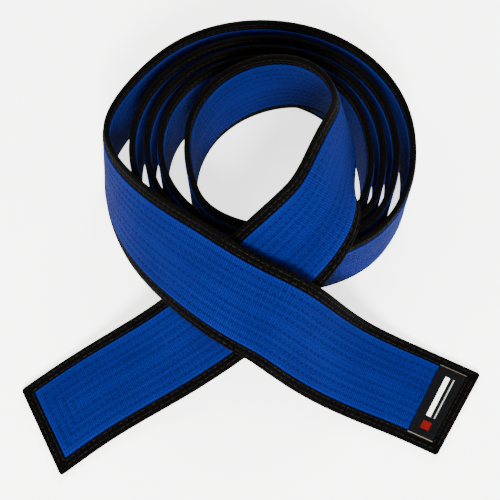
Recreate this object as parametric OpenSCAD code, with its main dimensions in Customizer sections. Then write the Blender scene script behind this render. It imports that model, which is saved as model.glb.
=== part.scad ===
// Martial arts belt: a padded, stitched strip rolled on its edge into a loose coil.
// Both free ends cross in front of the coil and lie on the floor, outer face up.
// Origin: centre of the base of the bounding box. +Z up, -Y towards the free ends.

/* [Strip] */
// Width of the finished belt
belt_w = 45; // [40:1:50]
// Thickness through cover, core and both panels
belt_t = 3.4; // [3.2:0.1:3.8]
// Thickness of the black cover fabric
cover_t = 0.35; // [0.3:0.05:0.4]
// Thickness of each coloured panel
panel_t = 0.35; // [0.3:0.05:0.4]
// Width of the black border left beside each panel and at its ends
border_w = 5.5; // [4:0.5:7]
// Number of padding plies inside the cover
ply_count = 3; // [3]
// Clearance between layers that lie on each other
lay_gap = 0.05; // [0.02:0.01:0.1]

/* [Stitching] */
// Width of a thread where it lies on the fabric
thread_w = 0.5; // [0.4:0.1:0.7]
// Height of a thread above the fabric
thread_h = 0.2; // [0.15:0.05:0.25]
// Distance of the outer border row from the belt's edge
edge_row_1 = 2; // [1.5:0.1:2.4]
// Distance of the inner border row from the belt's edge
edge_row_2 = 4.2; // [3.4:0.1:4.6]
// Distance of the first panel row from the belt's edge
panel_row_1 = 9; // [8:0.5:9]
// Distance from one panel row to the next
row_pitch = 3.5; // [3:0.1:3.6]

/* [Label] */
// Length of the label across the belt
label_l = 36; // [30:1:38]
// Width of the label along the belt
label_w = 13; // [10:1:14]
// Distance from the belt's end to the label
label_inset = 5; // [5:0.5:8]
// Thickness of the label
label_t = 0.4; // [0.3:0.05:0.5]

/* [Coil] */
// Number of full turns in the coil
turns = 4; // [4]
// Route points in each turn
turn_points = 16; // [16]
// Half width of the innermost turn
inner_rx = 44; // [44]
// Half depth of the innermost turn
inner_ry = 42; // [42]
// Growth of the half width with each turn
pitch_x = 6.4; // [6.4]
// Growth of the half depth with each turn
pitch_y = 5; // [5]
// How much wider the slack start of the outermost turn is
slack = 6; // [6]
// How far the outermost turn is pushed out where the plain tail leans on the coil
corner_push = 5; // [5]
// Growth of that push with each turn inwards
push_step = 1.3; // [1.3]

/* [Hidden] */

// Coil centre, and its drift towards -Y with each turn, in the row frame
coil_x = 7.2;
coil_y = 43.1;
coil_drift = 0.4;
// From the tails' own drawing to the row frame
frame_shift = [-0.8, 3.8];
// Turn numbers where the coil takes over from the label tail and gives way to the plain tail
coil_from = 2;
coil_to = 62;
// Height of the middle of the strip where it stands on its edge
stand_z = belt_w / 2;

half_w = belt_w / 2;
half_t = belt_t / 2;
cover_face = half_t - panel_t;
core_face = cover_face - cover_t - lay_gap;
ply_t = (2 * core_face - (ply_count - 1) * lay_gap) / ply_count;
corner_cut = 0.7;
panel_half = half_w - border_w;
label_stitch_inset = 0.9;

// Route of the strip's middle line. Each point is
// [x, y, z, roll, skew]: roll turns the strip from standing (0) to outer face up (90),
// and skew slants the strip's end.
label_tail = [
    [97.5, -83.5, 2, 90, -0.09],
    [74.5, -72.5, 2, 90, -0.06],
    [51, -63.5, 5, 82, -0.03],
    [31, -59, 26, 64, 0],
    [15, -54, 49, 59, 0],
    [1, -46.5, 47, 57, 0],
    [-14, -37.5, 48, 52, 0],
    [-28.5, -25.5, 45, 47, 0],
    [-43.5, -12, 39.5, 37, 0],
    [-56.5, 3, 35, 25, 0],
    [-65.5, 19, 27, 14, 0],
    [-70.5, 36, 22.5, 6, 0],
    [-70, 54, 22.5, 0, 0]
];
plain_tail = [
    [-29, 28, 22.5, -1, 0],
    [-29, 43, 22.5, -4, 0],
    [-22.5, 58, 25, -6, 0],
    [-10.5, 68, 30, -6, 0],
    [4, 72, 37, -4, 0],
    [18.5, 71, 43, 0, 0],
    [31.5, 65, 48, 5, 0],
    [41, 53.5, 52, 10, 0],
    [44.5, 39.5, 55, 15, 0],
    [42, 24.5, 62.5, 20, 0],
    [37.5, 8, 71, 34, 0],
    [33, -7.5, 67.5, 47, 0],
    [21.5, -20, 60.5, 56, 0],
    [6.5, -31, 49, 71, 0],
    [-8.5, -41.5, 34, 74, 0],
    [-24, -49.5, 22, 80, 0],
    [-39.5, -57, 12, 84, 0],
    [-57, -65.5, 6, 86, -0.06],
    [-76.5, -76.5, 2.4, 90, -0.13],
    [-97, -92, 2, 90, -0.17]
];

// A smoothing spline pulls a ring of points inwards, so the coil's points start further out
spline_gain = 6 / (4 + 2 * cos(360 / turn_points));

function coil_point(n) =
    let (left = turns - n)
    let (loose = slack * pow(left / turns, 8))
    let (rx = spline_gain * (inner_rx + pitch_x * left + loose))
    let (ry = spline_gain * (inner_ry + pitch_y * left + loose))
    let (turn = 180 - 360 * n)
    let (push = (corner_push + push_step * n) * pow(max(0, cos(turn + 45)), 8))
    [
        coil_x + (rx + push) * cos(turn), coil_y - coil_drift * n + (ry + push) * sin(turn),
        stand_z, 0, 0
    ];

function shifted(p) = [p.x + frame_shift.x, p.y + frame_shift.y, p[2], p[3], p[4]];

route = concat(
    [for (p = label_tail) shifted(p)],
    [for (i = [coil_from:coil_to]) coil_point(i / turn_points)],
    [for (p = plain_tail) shifted(p)]
);
last = len(route) - 1;

// Stations: the knots of a uniform cubic B-spline through the route
station = [
    for (i = [0:last])
        i == 0 || i == last ? route[i] : (route[i - 1] + 4 * route[i] + route[i + 1]) / 6
];

function place(i) = [station[i][0], station[i][1], station[i][2]];
function unit(v) = v / norm(v);

along = [for (i = [0:last]) unit(place(min(i + 1, last)) - place(max(i - 1, 0)))];
up_dir = [for (i = [0:last]) unit([0, 0, 1] - along[i].z * along[i])];
in_dir = [for (i = [0:last]) cross(along[i], up_dir[i])];
across = [for (i = [0:last]) cos(station[i][3]) * up_dir[i] + sin(station[i][3]) * in_dir[i]];
facing = [for (i = [0:last]) cross(across[i], along[i])];

// Point at station i, v across the belt from its middle and d out of its outer face
function at(i, v, d) =
    place(i) + v * (across[i] + station[i][4] * along[i]) + d * facing[i];

// The same line of points from end to end, stopped short of both ends by inset
function line(v, d, inset) = concat(
    [at(0, v, d) + (at(1, v, d) - at(0, v, d)) * inset / norm(place(1) - place(0))],
    [for (i = [1:last - 1]) at(i, v, d)],
    [at(last, v, d) + (at(last - 1, v, d) - at(last, v, d)) * inset / norm(place(last - 1) - place(last))]
);

// Solid between lines of points that run side by side, closed at both ends
module sweep(lines) {
    k = len(lines);
    n = len(lines[0]);
    points = [for (j = [0:n - 1]) for (l = lines) l[j]];
    sides = [
        for (j = [0:n - 2]) for (a = [0:k - 1])
            let (b = (a + 1) % k)
            each [
                [j * k + a, (j + 1) * k + b, j * k + b],
                [j * k + a, (j + 1) * k + a, (j + 1) * k + b]
            ]
    ];
    first_cap = [for (a = [1:k - 2]) [0, a, a + 1]];
    last_cap = [for (a = [1:k - 2]) [(n - 1) * k, (n - 1) * k + a + 1, (n - 1) * k + a]];
    polyhedron(points, concat(sides, first_cap, last_cap));
}

// Hollow band between outer and inner lines, closed at its first end and open at its last
module pocket(outer, inner) {
    k = len(outer);
    n = len(outer[0]);
    points = concat(
        [for (j = [0:n - 1]) for (l = outer) l[j]],
        [for (j = [0:n - 1]) for (l = inner) l[j]]
    );
    in0 = n * k;
    o1 = (n - 1) * k;
    i1 = in0 + o1;
    sides = [
        for (j = [0:n - 2]) for (a = [0:k - 1])
            let (b = (a + 1) % k, p = j * k, q = (j + 1) * k)
            each [
                [p + a, q + b, p + b], [p + a, q + a, q + b],
                [in0 + p + a, in0 + p + b, in0 + q + b], [in0 + p + a, in0 + q + b, in0 + q + a]
            ]
    ];
    caps = [for (a = [1:k - 2]) each [[0, a, a + 1], [in0, in0 + a + 1, in0 + a]]];
    rim = [
        for (a = [0:k - 1])
            let (b = (a + 1) % k)
            each [[o1 + b, o1 + a, i1 + a], [o1 + b, i1 + a, i1 + b]]
    ];
    polyhedron(points, concat(sides, caps, rim));
}

// Closed ring between loops of points that run side by side
module ring(loops) {
    k = len(loops);
    n = len(loops[0]);
    points = [for (j = [0:n - 1]) for (l = loops) l[j]];
    faces = [
        for (j = [0:n - 1]) for (a = [0:k - 1])
            let (b = (a + 1) % k, m = (j + 1) % n)
            each [
                [j * k + a, j * k + b, m * k + b],
                [j * k + a, m * k + b, m * k + a]
            ]
    ];
    polyhedron(points, faces);
}

// Flat layer of the belt: half width, lower and upper face, distance from both ends
module layer(half, low, high, inset) {
    section = [[-half, low], [-half, high], [0, high], [half, high], [half, low], [0, low]];
    sweep([for (s = section) line(s[0], s[1], inset)]);
}

// Rectangular row of stitching that runs round the belt at the same distance from every edge
module stitch_loop(from_edge, face, side) {
    section = [[-thread_w / 2, lay_gap], [0, lay_gap + thread_h], [thread_w / 2, lay_gap]];
    ordered = side > 0 ? section : [section[2], section[1], section[0]];
    ring([
        for (s = ordered)
            let (inset = from_edge + s[0])
            let (v = half_w - inset, d = side * (face + s[1]))
            let (there = line(v, d, inset), back = line(-v, d, inset))
            concat(there, [for (i = [last:-1:0]) back[i]])
    ]);
}

// Point near the label end, s from the end
function near_end(s, v, d) = at(0, v, d) + (at(1, v, d) - at(0, v, d)) * s / norm(place(1) - place(0));

// Corners of the cover's section, with its long edges trimmed by cut
function band(half, face, cut) = [
    [-half, cut - face], [-half, face - cut], [cut - half, face], [0, face], [half - cut, face],
    [half, face - cut], [half, cut - face], [half - cut, -face], [0, -face], [cut - half, -face]
];

module cover() {
    outer = band(half_w, cover_face, corner_cut);
    inner = band(half_w - cover_t, cover_face - cover_t, corner_cut);
    color("#151515") pocket(
        [for (s = outer) line(s[0], s[1], 0)],
        [for (s = inner) concat([line(s[0], s[1], cover_t)[0]], [for (i = [1:last]) at(i, s[0], s[1])])]
    );
}

// Padding ply number k, counted from the coil's side
module core_ply(k) {
    low = k * (ply_t + lay_gap) - core_face;
    color("#d8d2c4") layer(half_w - 3 * cover_t, low, low + ply_t, 3 * cover_t);
}

module panel_outer() {
    color("#123f9e") layer(panel_half, cover_face + lay_gap, half_t, border_w);
}

module panel_inner() {
    color("#123f9e") layer(panel_half, -half_t, -cover_face - lay_gap, border_w);
}

module edge_stitch(row, side) {
    color("#2a2a2a") stitch_loop(row == 1 ? edge_row_1 : edge_row_2, cover_face, side);
}

module panel_stitch(row, side) {
    color("#1c55c8") stitch_loop(panel_row_1 + (row - 1) * row_pitch, half_t, side);
}

module label() {
    low = half_t + lay_gap;
    far = label_inset + label_w;
    corners = [
        for (d = [low, low + label_t])
            [
                near_end(label_inset, -label_l / 2, d), near_end(label_inset, label_l / 2, d),
                near_end(far, label_l / 2, d), near_end(far, -label_l / 2, d)
            ]
    ];
    color("#0c0c0c") sweep([
        for (a = [0:3]) [corners[0][a], corners[1][a]]
    ]);
}

module label_stitch() {
    face = half_t + lay_gap + label_t + lay_gap;
    near = label_inset + label_stitch_inset;
    far = label_inset + label_w - label_stitch_inset;
    half = label_l / 2 - label_stitch_inset;
    section = [[-thread_w / 2, 0], [0, thread_h], [thread_w / 2, 0]];
    color("#1a1a1a") ring([
        for (s = section)
            let (o = s[0], d = face + s[1])
            [
                near_end(near + o, half - o, d), near_end(far - o, half - o, d),
                near_end(far - o, o - half, d), near_end(near + o, o - half, d)
            ]
    ]);
}

cover();
core_ply(0);  // core_ply_inner
core_ply(1);  // core_ply_middle
core_ply(2);  // core_ply_outer
panel_outer();
panel_inner();
edge_stitch(1, 1);  // edge_stitch_1_needle
edge_stitch(1, -1);  // edge_stitch_1_bobbin
edge_stitch(2, 1);  // edge_stitch_2_needle
edge_stitch(2, -1);  // edge_stitch_2_bobbin
panel_stitch(1, 1);  // panel_stitch_1_needle
panel_stitch(1, -1);  // panel_stitch_1_bobbin
panel_stitch(2, 1);  // panel_stitch_2_needle
panel_stitch(2, -1);  // panel_stitch_2_bobbin
panel_stitch(3, 1);  // panel_stitch_3_needle
panel_stitch(3, -1);  // panel_stitch_3_bobbin
panel_stitch(4, 1);  // panel_stitch_4_needle
panel_stitch(4, -1);  // panel_stitch_4_bobbin
label();
label_stitch();
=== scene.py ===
"""Martial arts belt: a padded, stitched strip coiled on its edge, both ends crossed in front."""

import math

import bpy
import numpy as np
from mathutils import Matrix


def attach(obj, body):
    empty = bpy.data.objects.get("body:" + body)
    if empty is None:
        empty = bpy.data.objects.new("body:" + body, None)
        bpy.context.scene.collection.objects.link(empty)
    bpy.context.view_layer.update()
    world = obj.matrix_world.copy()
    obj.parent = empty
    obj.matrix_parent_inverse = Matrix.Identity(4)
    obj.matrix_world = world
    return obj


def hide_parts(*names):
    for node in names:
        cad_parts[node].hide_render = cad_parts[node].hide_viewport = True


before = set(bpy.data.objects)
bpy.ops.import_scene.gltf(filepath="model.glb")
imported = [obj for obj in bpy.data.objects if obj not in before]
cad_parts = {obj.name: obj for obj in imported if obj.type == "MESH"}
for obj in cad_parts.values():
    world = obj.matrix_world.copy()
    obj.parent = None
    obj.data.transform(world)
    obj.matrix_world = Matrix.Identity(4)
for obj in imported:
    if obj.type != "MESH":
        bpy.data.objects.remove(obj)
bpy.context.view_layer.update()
MM = 0.001

# ------------------------------------------------------------------ camera

camera_data = bpy.data.cameras.new("camera")
camera_data.lens = 81.36
camera_data.sensor_width = 36
camera = bpy.data.objects.new("camera", camera_data)
camera.location = (-0.0008, -0.206, 0.5192)
camera.rotation_euler = (math.radians(22), 0, 0)
bpy.context.scene.collection.objects.link(camera)
bpy.context.scene.camera = camera

# ------------------------------------------------------------------ strip

# The strip's middle line, as in the CAD: x, y, z, roll from standing (0) to outer face up (90), skew
LABEL_TAIL = [
    (97.5, -83.5, 2, 90, -0.09),
    (74.5, -72.5, 2, 90, -0.06),
    (51, -63.5, 5, 82, -0.03),
    (31, -59, 26, 64, 0),
    (15, -54, 49, 59, 0),
    (1, -46.5, 47, 57, 0),
    (-14, -37.5, 48, 52, 0),
    (-28.5, -25.5, 45, 47, 0),
    (-43.5, -12, 39.5, 37, 0),
    (-56.5, 3, 35, 25, 0),
    (-65.5, 19, 27, 14, 0),
    (-70.5, 36, 22.5, 6, 0),
    (-70, 54, 22.5, 0, 0),
]
PLAIN_TAIL = [
    (-29, 28, 22.5, -1, 0),
    (-29, 43, 22.5, -4, 0),
    (-22.5, 58, 25, -6, 0),
    (-10.5, 68, 30, -6, 0),
    (4, 72, 37, -4, 0),
    (18.5, 71, 43, 0, 0),
    (31.5, 65, 48, 5, 0),
    (41, 53.5, 52, 10, 0),
    (44.5, 39.5, 55, 15, 0),
    (42, 24.5, 62.5, 20, 0),
    (37.5, 8, 71, 34, 0),
    (33, -7.5, 67.5, 47, 0),
    (21.5, -20, 60.5, 56, 0),
    (6.5, -31, 49, 71, 0),
    (-8.5, -41.5, 34, 74, 0),
    (-24, -49.5, 22, 80, 0),
    (-39.5, -57, 12, 84, 0),
    (-57, -65.5, 6, 86, -0.06),
    (-76.5, -76.5, 2.4, 90, -0.13),
    (-97, -92, 2, 90, -0.17),
]
# From the tails' own drawing to the frame
SHIFT = (-0.8, 3.8)
TURNS = 4
TURN_POINTS = 16
# Points of the coil where it takes over from the label tail and gives way to the plain tail
COIL_FROM, COIL_TO = 2, 62

HALF_W = 22.5
BORDER = 5.5
PANEL_HALF = HALF_W - BORDER
# Distance of the outer surface of each layer from the strip's middle
COVER_FACE = 1.35
PANEL_FACE = 1.7
LABEL_FACE = 2.12
# Distance of each row of stitches from the strip's edge, and the length of a stitch
EDGE_ROWS = (2, 4.2)
PANEL_ROWS = (9, 12.5, 16, 19.5)
STITCH = 3.0
LABEL_STITCH = 1.6
# Label: where it starts and ends along the strip, half its length across it, and its seam's inset
LABEL_START, LABEL_END, LABEL_HALF, LABEL_SEAM = 5, 18, 18, 0.9


def coil_point(n):
    """Point of the coil after n turns, counted from the outside."""
    left = TURNS - n
    gain = 6 / (4 + 2 * math.cos(2 * math.pi / TURN_POINTS))
    turn = math.pi - 2 * math.pi * n
    push = (5 + 1.3 * n) * max(0, math.cos(turn + math.pi / 4)) ** 8
    loose = 6 * (left / TURNS) ** 8
    rx = gain * (44 + 6.4 * left + loose) + push
    ry = gain * (42 + 5 * left + loose) + push
    return (7.2 + rx * math.cos(turn), 43.1 - 0.4 * n + ry * math.sin(turn), 22.5, 0, 0)


def shifted(p):
    """Tail point p in the frame."""
    return (p[0] + SHIFT[0], p[1] + SHIFT[1]) + p[2:]


route = np.array(
    [shifted(p) for p in LABEL_TAIL]
    + [coil_point(i / TURN_POINTS) for i in range(COIL_FROM, COIL_TO + 1)]
    + [shifted(p) for p in PLAIN_TAIL]
)


def spline(points, steps):
    """Uniform cubic B-spline of the route, with its ends kept."""
    p = np.vstack([2 * points[0] - points[1], points, 2 * points[-1] - points[-2]])
    t = np.arange(steps) / steps
    w = np.stack([(1 - t) ** 3, 3 * t**3 - 6 * t**2 + 4, -3 * t**3 + 3 * t**2 + 3 * t + 1, t**3], 1) / 6
    spans = [w @ p[i - 1 : i + 3] for i in range(1, len(p) - 2)]
    return np.vstack(spans + [points[-1:]])


def unit(v):
    return v / np.linalg.norm(v, axis=1)[:, None]


line = spline(route, 30)
centre = line[:, :3]
along = unit(np.gradient(centre, axis=0))
up = unit(np.array([0, 0, 1.0]) - along[:, 2:3] * along)
inward = np.cross(along, up)
roll = np.radians(line[:, 3:4])
across = np.cos(roll) * up + np.sin(roll) * inward
facing = np.cross(across, along)
slant = across + line[:, 4:5] * along
arc = np.concatenate([[0], np.cumsum(np.linalg.norm(np.diff(centre, axis=0), axis=1))])
LENGTH = float(arc[-1])


def on_strip(s, v, d):
    """Points s along the strip, v across it and d out of its outer face, in metres."""
    s, v, d = np.broadcast_arrays(s, v, d)
    shape = s.shape
    s, v, d = s.ravel(), v.ravel(), d.ravel()

    def pick(field):
        return np.stack([np.interp(s, arc, field[:, k]) for k in range(3)], 1)

    over = (s - np.clip(s, 0, LENGTH))[:, None] * pick(along)
    points = pick(centre) + over + v[:, None] * pick(slant) + d[:, None] * pick(facing)
    return (points * MM).reshape(shape + (3,))


def loop_distance(s, v, inset):
    """Distance from the rectangle that runs round the strip at inset from its edges."""
    return np.abs(np.maximum(np.abs(v) - (HALF_W - inset), np.maximum(inset - s, s - LENGTH + inset)))


def holes(s, v, inset):
    """1 at the needle holes of the same rectangle and 0 midway between them."""
    at_end = np.maximum(inset - s, s - LENGTH + inset) > np.abs(v) - (HALF_W - inset)
    phase = np.where(at_end, v, s)
    return 0.5 + 0.5 * np.cos(2 * np.pi * phase / STITCH)


def pinch(s, v, rows, reach):
    """How far the rows of stitches pull the fabric in, 0 to 1, fading out over reach."""
    total = np.zeros(np.broadcast(s, v).shape)
    for inset in rows:
        near = np.exp(-((loop_distance(s, v, inset) / reach) ** 2))
        total = np.maximum(total, near * (0.55 + 0.45 * holes(s, v, inset)))
    return total


def smooth_noise(s, v, scale, seed):
    """Soft, repeatable unevenness of padded fabric, about -1 to 1."""
    rng = np.random.default_rng(seed)
    total = 0
    for _ in range(6):
        a, b, c = rng.uniform(0.5, 1.6), rng.uniform(-1.6, 1.6), rng.uniform(0, 6.28)
        total = total + np.sin((a * s + b * v) / scale + c)
    return total / 4


# ------------------------------------------------------------------ meshes


def make_object(name, points, faces, uv, pinches=None):
    """Mesh object from arrays of points, equal-sized faces, strip coordinates and pinch values, which the
    cotton shader uses as painted shade and a painted rim highlight.
    """
    mesh = bpy.data.meshes.new(name)
    mesh.vertices.add(len(points))
    mesh.vertices.foreach_set("co", np.asarray(points, dtype=np.float32).ravel())
    count, size = faces.shape
    mesh.loops.add(count * size)
    mesh.loops.foreach_set("vertex_index", faces.astype(np.int32).ravel())
    mesh.polygons.add(count)
    mesh.polygons.foreach_set("loop_start", np.arange(0, count * size, size, dtype=np.int32))
    mesh.polygons.foreach_set("use_smooth", np.full(count, True))
    mesh.update(calc_edges=True)
    layer = mesh.uv_layers.new(name="strip")
    layer.uv.foreach_set("vector", np.asarray(uv, dtype=np.float32)[faces.ravel()].ravel())
    if pinches is not None:
        # Pinch values: painted shade and painted highlight amounts for the cotton shader
        attribute = mesh.attributes.new("pinch", "FLOAT", "POINT")
        attribute.data.foreach_set("value", np.asarray(pinches, dtype=np.float32).ravel())
    obj = bpy.data.objects.new(name, mesh)
    bpy.context.scene.collection.objects.link(obj)
    return obj


def grid_faces(rows, columns, closed=False):
    """Quads of a grid of points, whose last column joins its first if it is closed."""
    j = np.arange(rows - 1)[:, None]
    a = np.arange(columns if closed else columns - 1)[None, :]
    b = (a + 1) % columns
    quads = np.stack([j * columns + a, j * columns + b, (j + 1) * columns + b, (j + 1) * columns + a], -1)
    return quads.reshape(-1, 4)


def strip_stations(start, end, step):
    """Places along the strip, closer together just inside its two ends."""
    fine = np.array([0, 0.06, 0.22, 0.5, 0.9, 1.4])
    middle = np.arange(start + 2, end - 2, step)
    return np.concatenate([start + fine, middle, end - fine[::-1]])


def pairs(s, v):
    """Strip coordinates of a grid of points, one row each."""
    return np.stack(np.broadcast_arrays(s, v), -1).reshape(-1, 2)


def round_off(x, radius):
    """Share of full height at x in from an edge rounded to that radius."""
    t = np.clip(1 - x / radius, 0, 1)
    return np.sqrt(1 - t * t)


def tube(half, profile, inset, relief=None):
    """Closed band along the strip: profile gives (v, height) from the edge to the middle."""
    s = strip_stations(inset, LENGTH - inset, 0.75)[:, None]
    vs = np.array([p[0] for p in profile])
    hs = np.array([p[1] for p in profile])
    top_v = np.concatenate([vs, -vs[::-1][1:]])
    top_h = np.concatenate([hs, hs[::-1][1:]])
    v = np.concatenate([top_v, top_v[::-1][1:-1]])
    h = np.concatenate([top_h, -top_h[::-1][1:-1]])
    side = np.concatenate([np.ones(len(top_v)), -np.ones(len(top_v) - 2)])
    from_end = np.minimum(s - inset, LENGTH - inset - s)
    thick = round_off(from_end, 1.3)
    corner = 1.6 * (1 - round_off(from_end, 1.6))
    v = v[None, :] * (half - corner) / half
    sink = relief(s, v) if relief else np.zeros(np.broadcast(s, v).shape)
    uneven = 0.05 * smooth_noise(s, v, 6, 3) * (np.abs(h) > 0.9 * COVER_FACE)
    d = h[None, :] * thick - side[None, :] * (sink * 0.3 * (np.abs(h) > 0.5) - uneven) * thick
    points = on_strip(s, v, d)
    rows, columns = points.shape[:2]
    uv = pairs(s, v + 3.1 * (side[None, :] < 0))
    return points.reshape(-1, 3), grid_faces(rows, columns, True), uv, sink.ravel()


def cover_relief(s, v):
    return pinch(s, v, EDGE_ROWS, 0.42)


COVER_PROFILE = [
    (22.5, 0), (22.46, 0.35), (22.32, 0.72), (22.05, 1.02), (21.7, 1.2), (21.3, 1.3), (20.95, 1.33),
    (20.7, 1.34), (20.5, 1.34), (20.3, 1.34), (20.0, 1.36), (19.6, 1.4), (19.2, 1.4), (18.8, 1.38),
    (18.5, 1.36), (18.3, 1.36), (18.1, 1.36), (17.8, 1.38), (17.4, 1.38), (17.0, 1.35), (16.2, 1.3),
    (12, 1.3), (6, 1.3), (0, 1.3),
]
LINING_HALF = 22.1
LINING_PROFILE = [
    (LINING_HALF, 0), (22.05, 0.35), (21.8, 0.7), (21.4, 0.93), (20.9, 0.98),
    (18, 0.98), (12, 0.98), (6, 0.98), (0, 0.98),
]


def cover_piece():
    """The folded cloth: its outer surface, and its inner one round the padding."""
    out_points, out_faces, out_uv, out_sink = tube(HALF_W, COVER_PROFILE, 0, cover_relief)
    in_points, in_faces, in_uv, in_sink = tube(LINING_HALF, LINING_PROFILE, 0.35)
    return make_object(
        "cover_fabric",
        np.vstack([out_points, in_points]),
        np.vstack([out_faces, in_faces[:, ::-1] + len(out_points)]),
        np.vstack([out_uv, in_uv]),
        np.concatenate([out_sink, in_sink]),
    )


cover = cover_piece()


def ply(name, low, high):
    """Flat layer of padding between those heights, with softened edges."""
    s = np.arange(1.05, LENGTH - 1.05, 3.0)[:, None]
    v = np.array([-21.4, -21.4, -20.9, 0, 20.9, 21.4, 21.4, 20.9, 0, -20.9])[None, :]
    mid = (low + high) / 2
    d = np.array([mid - 0.1, mid + 0.1, high, high, high, mid + 0.1, mid - 0.1, low, low, low])[None, :]
    points = on_strip(s, v, d)
    return make_object(name, points.reshape(-1, 3), grid_faces(*points.shape[:2], True), pairs(s, v))


plies = [
    ply("padding_inner", -0.95, -0.35),
    ply("padding_middle", -0.3, 0.3),
    ply("padding_outer", 0.35, 0.95),
]


def panel_height(s, v, side):
    """Height of a panel's surface, and its pinch value, which the cotton shader paints as shade in the
    stitch dimples and needle pits and, where it is negative on the rim, as a painted highlight.
    """
    sink = pinch(s, v, PANEL_ROWS, 0.6)
    puff = 0.05 * smooth_noise(s, v, 5, 11 + side) + 0.09
    edge = np.minimum(np.minimum(s, LENGTH - s) - BORDER, PANEL_HALF - np.abs(v))
    crown = np.exp(-((edge - 0.5) / 0.45) ** 2)
    # The second value is painted shade in the stitch dimples, less a painted highlight on the raised rim
    return PANEL_FACE + puff * (1 - sink) + 0.09 * crown - 0.2 * sink, sink - 0.6 * crown


def panel(name, side):
    """Coloured cloth on the outer (1) or inner (-1) face, its rim turned down to the cover."""
    s = strip_stations(BORDER, LENGTH - BORDER, 0.6)[:, None]
    rim = [17.12, 17.1, 17.0]
    inner = np.arange(16.75, 0, -0.5)
    half = np.concatenate([rim, inner])
    v = np.concatenate([half, [0], -half[::-1]])[None, :]
    height, sink = panel_height(s, np.clip(v, -PANEL_HALF, PANEL_HALF), side)
    drop = np.zeros(v.shape[1])
    drop[[0, -1]] = 0.55
    drop[[1, -2]] = 0.12
    end = np.minimum(s - BORDER, LENGTH - BORDER - s)
    height = height - drop[None, :] - 0.5 * (1 - round_off(end, 0.35))
    points = on_strip(s, v, side * height)
    faces = grid_faces(*points.shape[:2])
    if side > 0:
        faces = faces[:, ::-1]
    # sink here holds the painted shade and painted rim highlight, stored as the pinch attribute
    return make_object(name, points.reshape(-1, 3), faces, pairs(s, v + 40 * (side < 0)), sink)


panel_out = panel("panel_outer_fabric", 1)
panel_in = panel("panel_inner_fabric", -1)


def threads(name, s, v, heading, radius, height, flatten, side=1):
    """Short threads with six-sided sections, each along one row of the places s, v and heights."""
    angle = np.radians([0, 60, 120, 180, 240, 300])
    radius = radius[..., None]
    sway = radius * np.cos(angle)
    s = s[:, :, None] + sway * heading[:, 1][:, None, None]
    v = v[:, :, None] + sway * heading[:, 0][:, None, None]
    points = on_strip(s, v, side * (height[:, None] + flatten * radius * np.sin(angle)))
    one = grid_faces(5, 6, True)
    faces = (one[None] + 30 * np.arange(len(heading))[:, None, None]).reshape(-1, 4)
    return make_object(name, points.reshape(-1, 3), faces, pairs(s, v))


def stitch_row(name, inset, side, surface, width, seed):
    """One closed row of separate stitches, each a short humped thread that dives in at both ends."""
    rng = np.random.default_rng(seed)
    half_v = HALF_W - inset
    runs = np.arange(math.ceil(inset / STITCH), math.floor((LENGTH - inset) / STITCH)) * STITCH
    steps = np.arange(math.ceil(-half_v / STITCH), math.floor(half_v / STITCH)) * STITCH
    # Each stitch: s and v of its start, and its heading along s or v
    starts = np.array(
        [(s, half_v, 1, 0) for s in runs]
        + [(s, -half_v, 1, 0) for s in runs]
        + [(inset, v, 0, 1) for v in steps]
        + [(LENGTH - inset, v, 0, 1) for v in steps]
    )
    heading = starts[:, 2:]
    t = np.array([0.06, 0.2, 0.5, 0.8, 0.94])
    wide = np.array([0.35, 0.85, 1, 0.85, 0.35])
    hump = np.array([-0.16, 0.02, 0.1, 0.02, -0.16])
    lean = rng.normal(0, 0.05, len(starts))
    grow = rng.uniform(0.9, 1.1, len(starts))
    off = (t - 0.5) * lean[:, None]
    s = starts[:, 0:1] + t * STITCH * heading[:, 0:1] + off * heading[:, 1:2]
    v = starts[:, 1:2] + t * STITCH * heading[:, 1:2] + off * heading[:, 0:1]
    radius = width / 2 * wide * grow[:, None]
    return threads(name, s, v, heading, radius, surface + hump, 0.62, side)


edge_stitches = {}
for k, inset in enumerate(EDGE_ROWS, 1):
    for side, word in ((1, "needle"), (-1, "bobbin")):
        edge_stitches[f"edge_stitch_{k}_{word}"] = stitch_row(
            f"border_thread_{k}_{word}", inset, side, 1.16, 0.55, 20 + k * 2 + side
        )
panel_stitches = {}
for k, inset in enumerate(PANEL_ROWS, 1):
    for side, word in ((1, "needle"), (-1, "bobbin")):
        panel_stitches[f"panel_stitch_{k}_{word}"] = stitch_row(
            f"quilting_thread_{k}_{word}", inset, side, 1.5, 0.42, 40 + k * 2 + side
        )

# ------------------------------------------------------------------ label


def label_piece():
    """Woven label, pulled down along its seam."""
    inner_s = np.arange(LABEL_START + 0.3, LABEL_END - 0.2, 0.5)
    inner_v = np.arange(0.3 - LABEL_HALF, LABEL_HALF - 0.2, 0.5)
    s = np.concatenate([[LABEL_START, LABEL_START + 0.02], inner_s, [LABEL_END - 0.02, LABEL_END]])[:, None]
    v = np.concatenate([[-LABEL_HALF, 0.02 - LABEL_HALF], inner_v, [LABEL_HALF - 0.02, LABEL_HALF]])[None, :]
    rim = np.minimum(np.minimum(s - LABEL_START, LABEL_END - s), LABEL_HALF - np.abs(v))
    seam = np.exp(-(((rim - LABEL_SEAM) / 0.4) ** 2))
    d = LABEL_FACE + 0.07 * smooth_noise(s, v, 3, 5) - 0.16 * seam - 0.35 * (rim < 0.01)
    points = on_strip(s, v, d)
    faces = grid_faces(*points.shape[:2])[:, ::-1]
    return make_object("label_woven", points.reshape(-1, 3), faces, pairs(s, v), seam)


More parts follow.
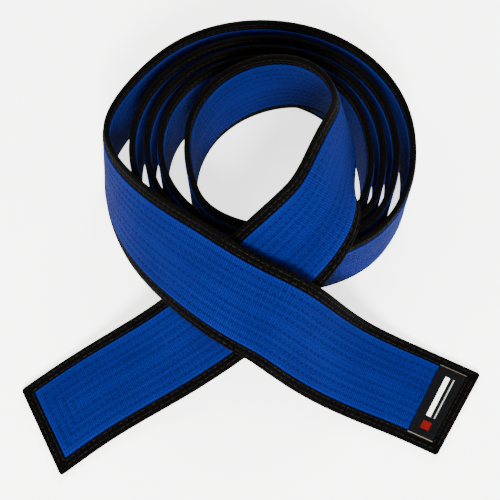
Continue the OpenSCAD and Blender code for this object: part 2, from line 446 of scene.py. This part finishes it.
def label_thread():
    """Stitches that hold the label, once round its seam."""
    near, far, half = LABEL_START + LABEL_SEAM, LABEL_END - LABEL_SEAM, LABEL_HALF - LABEL_SEAM
    along_s = np.arange(near, far - LABEL_STITCH / 2, LABEL_STITCH)
    along_v = np.arange(-half, half - LABEL_STITCH / 2, LABEL_STITCH)
    starts = np.array(
        [(s, v, 1, 0) for v in (-half, half) for s in along_s]
        + [(s, v, 0, 1) for s in (near, far) for v in along_v]
    )
    heading = starts[:, 2:]
    t = np.array([0.08, 0.3, 0.5, 0.7, 0.92])
    radius = np.array([0.4, 0.9, 1, 0.9, 0.4]) * 0.17 * np.ones((len(starts), 1))
    s = starts[:, 0:1] + t * LABEL_STITCH * heading[:, 0:1]
    v = starts[:, 1:2] + t * LABEL_STITCH * heading[:, 1:2]
    return threads("label_thread", s, v, heading, radius, np.full(5, 2.1), 0.7)


label = label_piece()
label_sewing = label_thread()

# ------------------------------------------------------------------ materials


class Shader:
    """A material with a Principled shader, and short names for its nodes."""

    def __init__(self, name, **sockets):
        self.material = bpy.data.materials.new(name)
        self.material.use_nodes = True
        self.tree = self.material.node_tree
        self.shader = self.tree.nodes["Principled BSDF"]
        for key, value in sockets.items():
            self.shader.inputs[key.replace("_", " ")].default_value = value
        self.uv = self.add("ShaderNodeUVMap", uv_map="strip").outputs[0]

    def add(self, kind, **settings):
        node = self.tree.nodes.new(kind)
        for key, value in settings.items():
            setattr(node, key, value)
        return node

    def plug(self, socket, value):
        if isinstance(value, bpy.types.NodeSocket):
            self.tree.links.new(value, socket)
        else:
            socket.default_value = value

    def math(self, operation, a, b=0.0):
        node = self.add("ShaderNodeMath", operation=operation)
        self.plug(node.inputs[0], a)
        self.plug(node.inputs[1], b)
        return node.outputs[0]

    def scaled(self, value, factor, offset):
        """value times factor, plus offset."""
        node = self.add("ShaderNodeMath", operation="MULTIPLY_ADD")
        for socket, number in zip(node.inputs, (value, factor, offset)):
            self.plug(socket, number)
        return node.outputs[0]

    def place(self, scale, turn=0.0):
        """Strip coordinates, scaled and turned."""
        node = self.add("ShaderNodeMapping")
        self.plug(node.inputs["Vector"], self.uv)
        node.inputs["Scale"].default_value = (scale[0], scale[1], 1)
        node.inputs["Rotation"].default_value = (0, 0, math.radians(turn))
        return node.outputs[0]

    def noise(self, scale, detail=2.0, roughness=0.5, stretch=(1, 1)):
        node = self.add("ShaderNodeTexNoise")
        self.plug(node.inputs["Vector"], self.place(stretch))
        node.inputs["Scale"].default_value = scale
        node.inputs["Detail"].default_value = detail
        node.inputs["Roughness"].default_value = roughness
        return node.outputs["Fac"]

    def ribs(self, period, turn=0.0, distortion=0.0):
        """Rounded ribs, that far apart, across the strip at turn 0."""
        node = self.add("ShaderNodeTexWave", wave_type="BANDS", bands_direction="X")
        self.plug(node.inputs["Vector"], self.place((1, 1), turn))
        node.inputs["Scale"].default_value = math.pi / 10 / period
        node.inputs["Distortion"].default_value = distortion
        node.inputs["Detail"].default_value = 2
        node.inputs["Detail Scale"].default_value = 1.2
        return node.outputs["Fac"]

    def ramp(self, value, stops):
        node = self.add("ShaderNodeValToRGB")
        self.plug(node.inputs[0], value)
        while len(node.color_ramp.elements) < len(stops):
            node.color_ramp.elements.new(0.5)
        for element, (place, colour) in zip(node.color_ramp.elements, stops):
            element.position = place
            element.color = tuple(colour) + (1,)
        return node.outputs[0]

    def mix(self, factor, a, b, blend="MIX"):
        node = self.add("ShaderNodeMix", data_type="RGBA", blend_type=blend)
        self.plug(node.inputs[0], factor)
        self.plug(node.inputs[6], a)
        self.plug(node.inputs[7], b)
        return node.outputs[2]

    def bump(self, height, strength, distance):
        node = self.add("ShaderNodeBump")
        node.inputs["Strength"].default_value = strength
        node.inputs["Distance"].default_value = distance
        self.plug(node.inputs["Height"], height)
        self.plug(self.shader.inputs["Normal"], node.outputs[0])

    # Pinch attribute, used as painted shade in the stitch dimples and a painted highlight on the panel rim
    def painted_shade_and_highlight(self):
        return self.add("ShaderNodeAttribute", attribute_name="pinch").outputs["Fac"]


def panel_material():
    """Ribbed blue cotton: fine yarn, fuzz, painted shade in the needle pits and stitch dimples, a painted
    highlight along the panel rim, and a slightly uneven dye.
    """
    m = Shader("panel_cotton", Roughness=0.82, Sheen_Weight=0.01, Sheen_Roughness=0.4)
    m.shader.inputs["Sheen Tint"].default_value = (0.2, 0.45, 1, 1)
    m.shader.inputs["Specular IOR Level"].default_value = 0.02
    rib = m.ribs(1.0, 2, 0.8)
    yarn = m.ribs(0.42, 90, 0.6)
    fuzz = m.noise(1.5, 4, 0.75)
    patch = m.noise(0.035, 3, 0.55, (0.6, 1.2))
    base = m.ramp(patch, [(0.3, (0.0008, 0.0034, 0.053)), (0.7, (0.0014, 0.0053, 0.072))])
    dashes = m.math("MULTIPLY", m.math("POWER", m.ribs(2.1, 90, 0.5), 3), m.ribs(1.9, 0, 1.5))
    tone = m.math("MULTIPLY", m.scaled(rib, 0.55, 0.72), m.scaled(fuzz, 2.6, -0.25))
    # Painted shade in the stitch dimples and needle pits, and a painted highlight on the rim, from the pinch
    # attribute
    tone = m.math("MULTIPLY", tone, m.scaled(m.painted_shade_and_highlight(), -0.52, 1))
    tone = m.math("MULTIPLY", tone, m.scaled(dashes, -0.4, 1))
    combine = m.add("ShaderNodeCombineColor")
    for k in range(3):
        m.plug(combine.inputs[k], tone)
    colour = m.mix(1.0, base, combine.outputs[0], "MULTIPLY")
    m.plug(m.shader.inputs["Base Color"], colour)
    height = m.math("ADD", rib, m.math("MULTIPLY", yarn, 0.35))
    height = m.math("ADD", height, m.math("MULTIPLY", fuzz, 0.9))
    m.bump(height, 0.85, 0.00022)
    return m.material


def cover_material():
    """Black twill, fuzzy and a little dusty."""
    m = Shader("border_twill", Roughness=0.85, Sheen_Weight=0.004, Sheen_Roughness=0.4)
    m.shader.inputs["Sheen Tint"].default_value = (1, 0.86, 0.7, 1)
    m.shader.inputs["Specular IOR Level"].default_value = 0.015
    twill = m.ribs(0.62, 52, 0.7)
    fuzz = m.noise(1.3, 4, 0.7)
    patch = m.noise(0.06, 2, 0.5)
    speck = m.ramp(fuzz, [(0.45, (0.0001, 0.0001, 0.0001)), (0.7, (0.0026, 0.0022, 0.0018))])
    dusty = m.ramp(patch, [(0.35, (0.8, 0.8, 0.8)), (0.7, (1.35, 1.28, 1.2))])
    colour = m.mix(1.0, speck, dusty, "MULTIPLY")
    m.plug(m.shader.inputs["Base Color"], colour)
    height = m.math("ADD", twill, m.math("MULTIPLY", fuzz, 1.1))
    m.bump(height, 0.9, 0.00018)
    return m.material


def thread_material(name, dark, light, sheen):
    """Twisted sewing thread, its colour varying from dark to light."""
    m = Shader(name, Roughness=0.55, Sheen_Weight=sheen, Sheen_Roughness=0.35)
    m.shader.inputs["Specular IOR Level"].default_value = 0.03
    strand = m.ribs(0.5, 35, 0.2)
    tone = m.noise(0.9, 2, 0.5)
    m.plug(m.shader.inputs["Base Color"], m.ramp(tone, [(0.35, dark), (0.65, light)]))
    m.bump(strand, 0.6, 0.0001)
    return m.material


def padding_material():
    """Undyed cotton batting."""
    m = Shader("padding_cotton", Roughness=0.95)
    fuzz = m.noise(1.1, 3, 0.6)
    colour = m.ramp(fuzz, [(0.3, (0.5, 0.46, 0.38)), (0.7, (0.72, 0.68, 0.6))])
    m.plug(m.shader.inputs["Base Color"], colour)
    m.bump(fuzz, 0.6, 0.0002)
    return m.material


def label_material():
    """Black satin with two plain bars, a plain block and pale cut edges."""
    m = Shader("label_satin", Roughness=0.6)
    m.shader.inputs["Specular IOR Level"].default_value = 0.03
    split = m.add("ShaderNodeSeparateXYZ")
    m.plug(split.inputs[0], m.uv)
    s, v = split.outputs[0], split.outputs[1]

    def within(value, low, high):
        return m.math("MULTIPLY", m.math("GREATER_THAN", value, low), m.math("LESS_THAN", value, high))

    def box(s_low, s_high, v_low, v_high):
        return m.math("MULTIPLY", within(s, s_low, s_high), within(v, v_low, v_high))

    weave = m.ribs(0.28, 90, 0.1)
    satin = m.ramp(weave, [(0.2, (0.0002, 0.0003, 0.0004)), (0.8, (0.0007, 0.001, 0.0013))])
    colour = m.mix(box(11.2, 13.4, -7.5, 13.5), satin, (0.72, 0.72, 0.70, 1))
    colour = m.mix(box(9.0, 9.6, -7.5, 13.5), colour, (0.2, 0.2, 0.2, 1))
    colour = m.mix(box(9.2, 13.4, -14, -10), colour, (0.07, 0.0008, 0.0012, 1))
    cut = m.math("GREATER_THAN", m.math("ABSOLUTE", v), LABEL_HALF - 0.28)
    colour = m.mix(cut, colour, (0.09, 0.08, 0.065, 1))
    m.plug(m.shader.inputs["Base Color"], colour)
    m.bump(weave, 0.5, 0.00008)
    return m.material


def floor_material():
    """Pale floor with a soft glow of its own, which keeps it near white."""
    m = Shader("floor_paper", Roughness=0.9)
    m.shader.inputs["Base Color"].default_value = (0.95, 0.948, 0.94, 1)
    m.shader.inputs["Emission Color"].default_value = (1, 0.995, 0.985, 1)
    m.shader.inputs["Emission Strength"].default_value = 2
    return m.material


def dress(obj, material, node):
    """Give a piece its material and its body, and hide the CAD node it stands in for."""
    obj.data.materials.append(material)
    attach(obj, "root")
    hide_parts(node)


cotton = panel_material()
border_thread = thread_material("border_thread", (0.0006, 0.0006, 0.0005), (0.006, 0.0055, 0.0048), 0.01)
blue_thread = thread_material("quilting_thread", (0.0004, 0.0028, 0.044), (0.0008, 0.0056, 0.078), 0.02)
label_sewing_material = thread_material("label_thread", (0.001, 0.001, 0.001), (0.005, 0.005, 0.005), 0.01)
padding = padding_material()

dress(cover, cover_material(), "cover")
dress(panel_out, cotton, "panel_outer")
dress(panel_in, cotton, "panel_inner")
for obj, node in zip(plies, ("core_ply_inner", "core_ply_middle", "core_ply_outer")):
    dress(obj, padding, node)
for node, obj in edge_stitches.items():
    dress(obj, border_thread, node)
for node, obj in panel_stitches.items():
    dress(obj, blue_thread, node)
dress(label, label_material(), "label")
dress(label_sewing, label_sewing_material, "label_stitch")

# ------------------------------------------------------------------ stage and light

floor = make_object(
    "floor",
    np.array([(-4, -4, 0), (4, -4, 0), (4, 4, 0), (-4, 4, 0)]) + np.array([0, 0, -0.0001]),
    np.array([[0, 1, 2, 3]]),
    np.array([(0, 0), (1, 0), (1, 1), (0, 1)]),
)
floor.data.materials.append(floor_material())


def area_light(name, place, target, size, power, colour):
    """Round soft light at place, turned to the target."""
    data = bpy.data.lights.new(name, "AREA")
    data.shape = "DISK"
    data.size = size
    data.energy = power
    data.color = colour
    obj = bpy.data.objects.new(name, data)
    obj.location = place
    toward = np.array(target) - np.array(place)
    obj.rotation_euler = (
        math.atan2(math.hypot(toward[0], toward[1]), -toward[2]),
        0,
        math.atan2(toward[1], toward[0]) - math.pi / 2,
    )
    bpy.context.scene.collection.objects.link(obj)


area_light("key", (-0.7, 0.35, 0.9), (0, 0, 0), 0.5, 10, (1, 0.98, 0.95))
area_light("rear", (0.25, 0.95, 0.75), (0, 0, 0.02), 0.5, 22, (1, 0.99, 0.97))
area_light("front", (0.05, -0.95, 0.86), (0, 0.05, 0.02), 0.4, 64, (1, 0.99, 0.97))

world = bpy.data.worlds.new("studio")
world.use_nodes = True
world.node_tree.nodes["Background"].inputs[0].default_value = (1, 1, 1, 1)
world.node_tree.nodes["Background"].inputs[1].default_value = 1.4
bpy.context.scene.world = world
